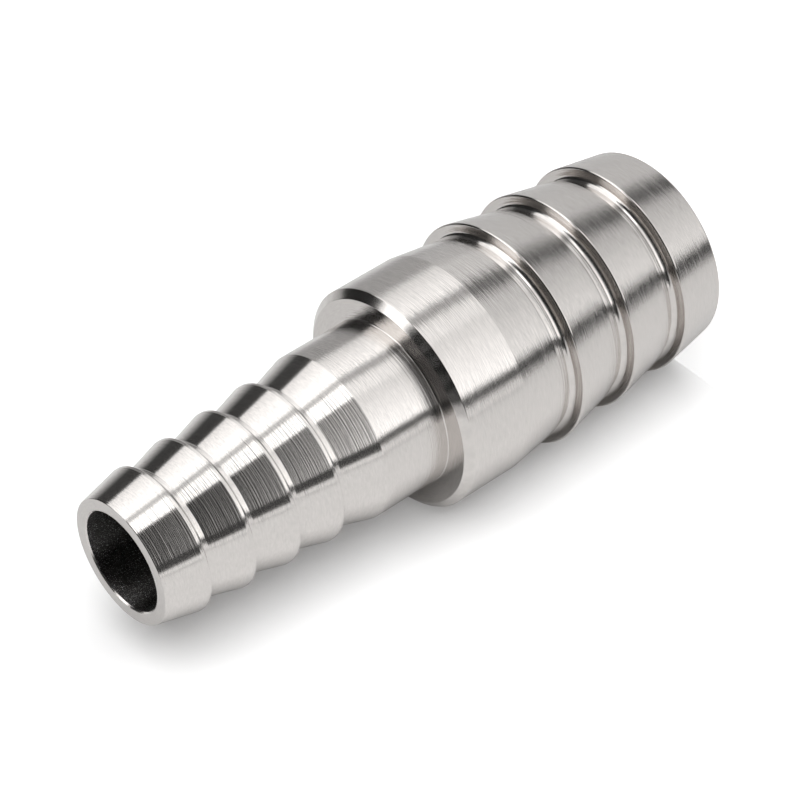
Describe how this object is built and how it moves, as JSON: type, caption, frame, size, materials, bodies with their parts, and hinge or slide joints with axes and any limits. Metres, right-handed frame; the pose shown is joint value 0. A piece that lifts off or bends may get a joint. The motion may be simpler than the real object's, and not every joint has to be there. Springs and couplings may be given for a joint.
{
  "type": "hose barb reducer",
  "caption": "Turned steel adapter that joins a narrow hose to a wide one, with a barbed spigot at each end, a plain stepped collar between them and a straight passage through it.",
  "frame": {"origin": "centre of the large end's face, on which the part stands", "axes": "+Z along the axis towards the small end; X and Y are any two directions square to it, because the part is a turned one"},
  "size_m": [0.021, 0.021, 0.0589],
  "materials": {
    "turned_steel": "fine turned stainless steel, clean and unused"
  },
  "bodies": {
    "root": {"reducer_body": "turned_steel"}
  },
  "joints": []
}
